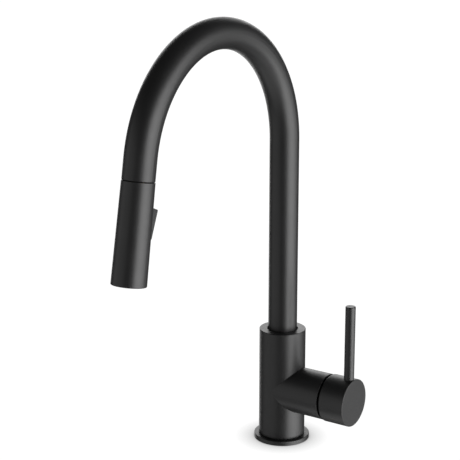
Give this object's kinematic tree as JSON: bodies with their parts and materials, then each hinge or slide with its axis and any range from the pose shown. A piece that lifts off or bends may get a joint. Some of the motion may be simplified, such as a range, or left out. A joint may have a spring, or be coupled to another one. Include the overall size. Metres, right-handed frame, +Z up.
{
  "type": "pull-down kitchen faucet",
  "caption": "High-arc kitchen faucet with a pull-down spray wand, a single side lever and a round deck flange, coated matte black.",
  "frame": {"origin": "middle of the base flange's deck face, on the riser's axis", "axes": "+Z up the riser, -Y the way the spout reaches, +X the valve arm and lever"},
  "size_m": [0.112, 0.2858, 0.526],
  "materials": {
    "matte_black_coat": "matte powder coat over brass and steel",
    "black_plastic": "satin moulded",
    "brass": "machined",
    "steel": "zinc plated or stainless",
    "black_rubber": "matte moulded",
    "grey_rubber": "soft silicone",
    "white_nylon": "moulded",
    "cartridge_plastic": "moulded",
    "ceramic": "lapped alumina",
    "hose_braid": "woven nylon braid over a rubber hose"
  },
  "bodies": {
    "base": {"base_flange": "matte_black_coat", "base_gasket": "black_rubber", "faucet_body": "matte_black_coat", "mounting_studs": "steel", "rubber_horseshoe": "black_rubber", "steel_horseshoe": "steel", "mounting_nuts": "steel", "thrust_washer": "white_nylon", "lower_swivel_bush": "white_nylon", "upper_swivel_bush": "black_plastic", "spout_retaining_screw": "steel", "cartridge_base": "cartridge_plastic", "cartridge_port_seals": "grey_rubber", "fixed_ceramic_disc": "ceramic", "cartridge_housing": "cartridge_plastic", "cartridge_nut": "brass", "bonnet_dome": "matte_black_coat"},
    "spout": {"spout_tube": "matte_black_coat", "spout_insert": "brass", "docking_collar": "black_plastic", "spray_hose": "hose_braid", "hose_lower_ferrule": "steel", "hose_quick_connect": "brass", "quick_connect_rings": "black_rubber"},
    "hose_end": {"hose_end_fitting": "brass"},
    "wand": {"hose_nut": "brass", "hose_washer": "black_rubber", "wand_neck": "brass", "check_valve": "white_nylon", "wand_shell": "matte_black_coat", "wand_waterway": "white_nylon", "spray_face": "black_plastic", "spray_nozzles": "grey_rubber", "aerator_housing": "black_plastic", "aerator_insert": "cartridge_plastic", "face_seal": "black_rubber", "button_hinge_pin": "steel"},
    "button": {"spray_button": "black_plastic"},
    "diverter": {"diverter_spool": "white_nylon"},
    "turret": {"stem_guide": "white_nylon", "stem_pin": "steel"},
    "mixing_disc": {"moving_ceramic_disc": "ceramic", "disc_carrier": "cartridge_plastic"},
    "handle": {"lever_stem": "brass", "handle_hub": "matte_black_coat", "lever_rod": "matte_black_coat", "hub_grub_screw": "steel", "grub_screw_plug": "black_plastic"}
  },
  "joints": [
    {"name": "spout_swivel", "type": "hinge", "parent": "base", "child": "spout", "pos_m": [0, 0, 0.115], "axis": [0, 0, 1], "continuous": true},
    {"name": "wand_pull", "type": "slide", "parent": "spout", "child": "hose_end", "axis": [0, -0.1736, -0.9848], "range_m": [0, 0.45], "stiffness_N_per_m": 5, "springref_m": -1.2, "deforming": ["spray_hose"]},
    {"name": "wand_swivel", "type": "hinge", "parent": "hose_end", "child": "wand", "pos_m": [0, -0.22632, 0.30655], "axis": [0, -0.1736, -0.9848], "continuous": true},
    {"name": "spray_button_press", "type": "hinge", "parent": "wand", "child": "button", "pos_m": [0, -0.22505, 0.25962], "axis": [1, 0, 0], "range_deg": [0, 7.5], "stiffness_Nm_per_rad": 0.4, "springref_deg": -5.73},
    {"name": "diverter_slide", "type": "slide", "parent": "wand", "child": "diverter", "axis": [0, -0.9848, 0.1736], "range_m": [0, 0.0022]},
    {"name": "temperature_turn", "type": "hinge", "parent": "base", "child": "turret", "pos_m": [0.05, 0, 0.05365], "axis": [1, 0, 0], "range_deg": [-45, 45]},
    {"name": "flow_lift", "type": "hinge", "parent": "turret", "child": "handle", "pos_m": [0.05, 0, 0.05365], "axis": [0, 1, 0], "range_deg": [0, 20]},
    {"name": "mixing_disc_slide", "type": "slide", "parent": "turret", "child": "mixing_disc", "axis": [0, 0, 1], "range_m": [0, 0.0034]}
  ],
  "couplings": [
    {"joint": "diverter_slide", "follows": "spray_button_press", "m_per_rad": 0.016},
    {"joint": "mixing_disc_slide", "follows": "flow_lift", "m_per_rad": 0.0094}
  ]
}
